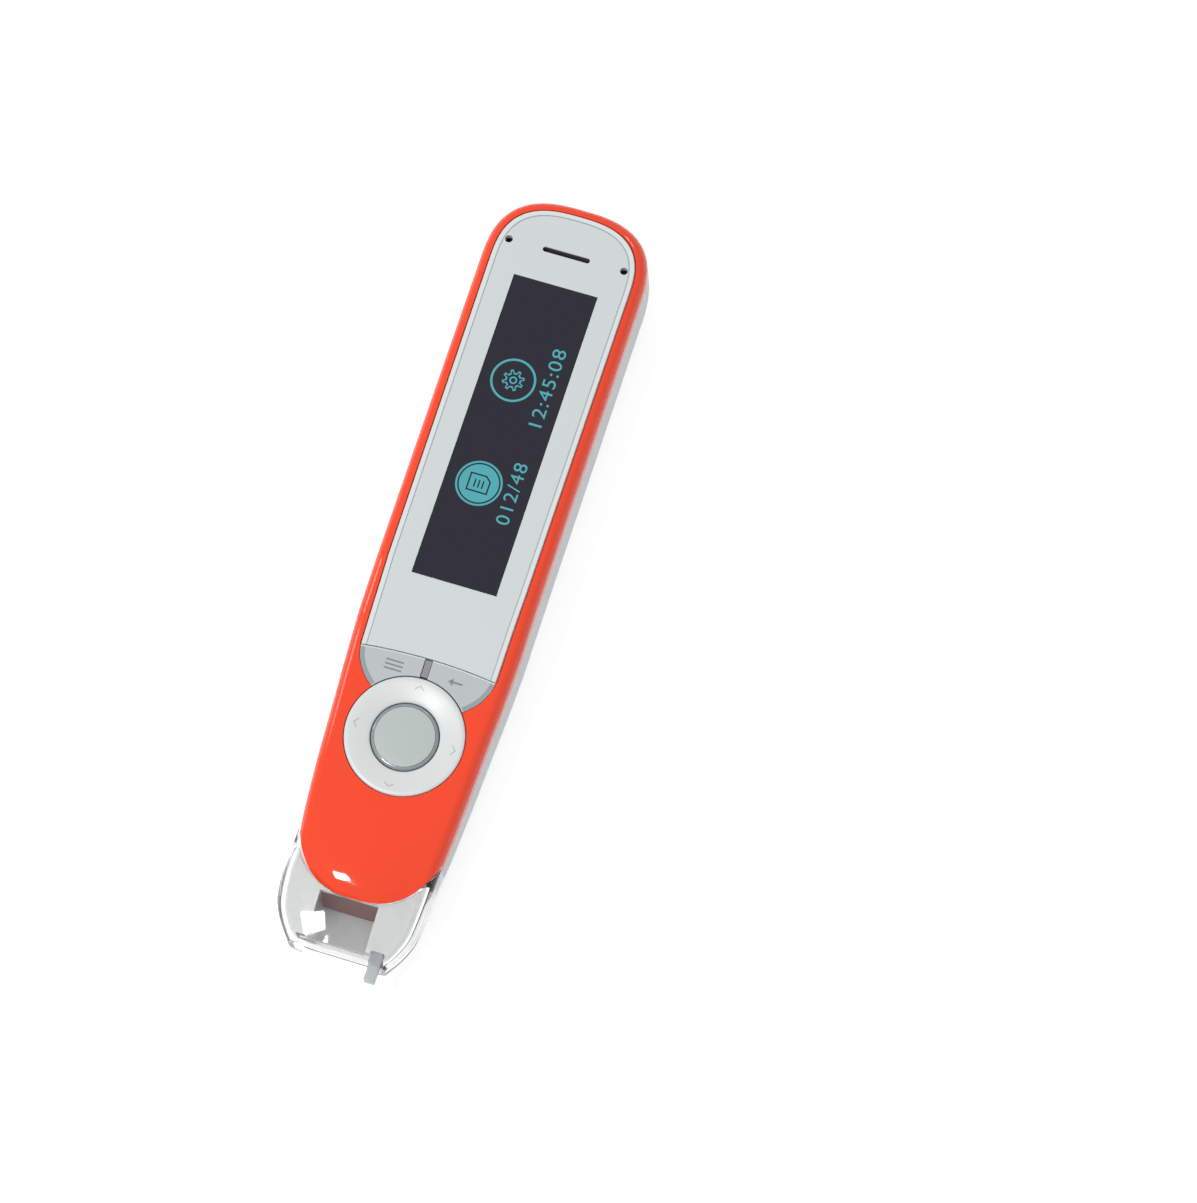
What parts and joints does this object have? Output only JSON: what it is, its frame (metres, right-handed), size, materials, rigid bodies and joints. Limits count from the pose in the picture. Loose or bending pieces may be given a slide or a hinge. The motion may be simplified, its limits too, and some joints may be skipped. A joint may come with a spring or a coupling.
{
  "type": "scanning pen",
  "caption": "Hand-held text scanning pen: display window, rocking direction ring with centre button, soft keys, and a forked camera tip under a clear cover with a sprung trigger nib.",
  "frame": {"origin": "bottom centre of the bounding box: half way along the pen, on the plane that its flat back lies on", "axes": "+X to the right of the display, +Y along the pen from the scanning tip to the top end, +Z out of the display window"},
  "size_m": [0.028, 0.134, 0.019],
  "materials": {
    "orange_gloss": "gloss",
    "white_gloss": "gloss",
    "panel_white": "gloss",
    "key_grey": "satin",
    "ring_white": "satin",
    "button_clear": "gloss",
    "clear_plastic": "clear",
    "smoked_plastic": "smoked",
    "nib_grey": "gloss",
    "window_dark": "gloss",
    "display_glass": "gloss",
    "inner_grey": "matte",
    "silicone": "matte",
    "foam": "matte",
    "board_green": "satin",
    "chip_black": "matte",
    "bright_metal": "satin",
    "spring_steel": "satin",
    "ribbon": "satin",
    "battery_foil": "satin",
    "lamp": "gloss"
  },
  "bodies": {
    "casing": {"front_frame": "orange_gloss", "rear_shell": "white_gloss", "front_panel": "panel_white", "display_window": "window_dark", "display_module": "display_glass", "display_holder": "inner_grey", "display_ribbon": "ribbon", "key_web": "inner_grey", "key_board": "board_green", "key_ribbon": "ribbon", "dome_up": "bright_metal", "dome_down": "bright_metal", "dome_left": "bright_metal", "dome_right": "bright_metal", "dome_centre": "bright_metal", "dome_key_left": "bright_metal", "dome_key_right": "bright_metal", "clear_tip_cover": "clear_plastic", "tip_hood": "white_gloss", "camera_window": "smoked_plastic", "camera_board": "board_green", "camera_housing": "chip_black", "camera_barrel": "chip_black", "camera_lens": "display_glass", "lamp_left": "lamp", "lamp_right": "lamp", "trigger_switch": "chip_black", "main_board": "board_green", "processor": "chip_black", "memory_chip": "chip_black", "battery": "battery_foil", "battery_pad": "foam", "battery_plug": "lamp", "usb_socket": "bright_metal", "headphone_socket": "chip_black", "speaker": "chip_black", "microphone_left": "silicone", "microphone_right": "silicone", "screw_1": "bright_metal", "screw_2": "bright_metal", "screw_3": "bright_metal", "screw_4": "bright_metal"},
    "tilting_pad": {"ring_pad": "silicone"},
    "ring": {"nav_ring": "ring_white"},
    "centre": {"centre_button": "button_clear"},
    "left_key": {"key_left": "key_grey"},
    "right_key": {"key_right": "key_grey"},
    "trigger": {"trigger_nib": "nib_grey", "trigger_spring": "spring_steel"}
  },
  "joints": [
    {"name": "ring_up_down", "type": "hinge", "parent": "casing", "child": "tilting_pad", "pos_m": [0, -0.02761, 0.0134], "axis": [1, 0, 0], "range_deg": [-1.8, 1.8], "stiffness_Nm_per_rad": 0.45},
    {"name": "ring_left_right", "type": "hinge", "parent": "tilting_pad", "child": "ring", "pos_m": [0, -0.02761, 0.0134], "axis": [0, 0.9967, 0.0809], "range_deg": [-1.8, 1.8], "stiffness_Nm_per_rad": 0.45},
    {"name": "centre_press", "type": "slide", "parent": "casing", "child": "centre", "axis": [0, 0.0809, -0.9967], "range_m": [0, 0.00035], "stiffness_N_per_m": 4500},
    {"name": "left_key_press", "type": "slide", "parent": "casing", "child": "left_key", "axis": [0, 0.0809, -0.9967], "range_m": [0, 0.00035], "stiffness_N_per_m": 4500},
    {"name": "right_key_press", "type": "slide", "parent": "casing", "child": "right_key", "axis": [0, 0.0809, -0.9967], "range_m": [0, 0.00035], "stiffness_N_per_m": 4500},
    {"name": "trigger_press", "type": "slide", "parent": "casing", "child": "trigger", "axis": [0, 1, 0], "range_m": [0, 0.0015], "stiffness_N_per_m": 330}
  ]
}
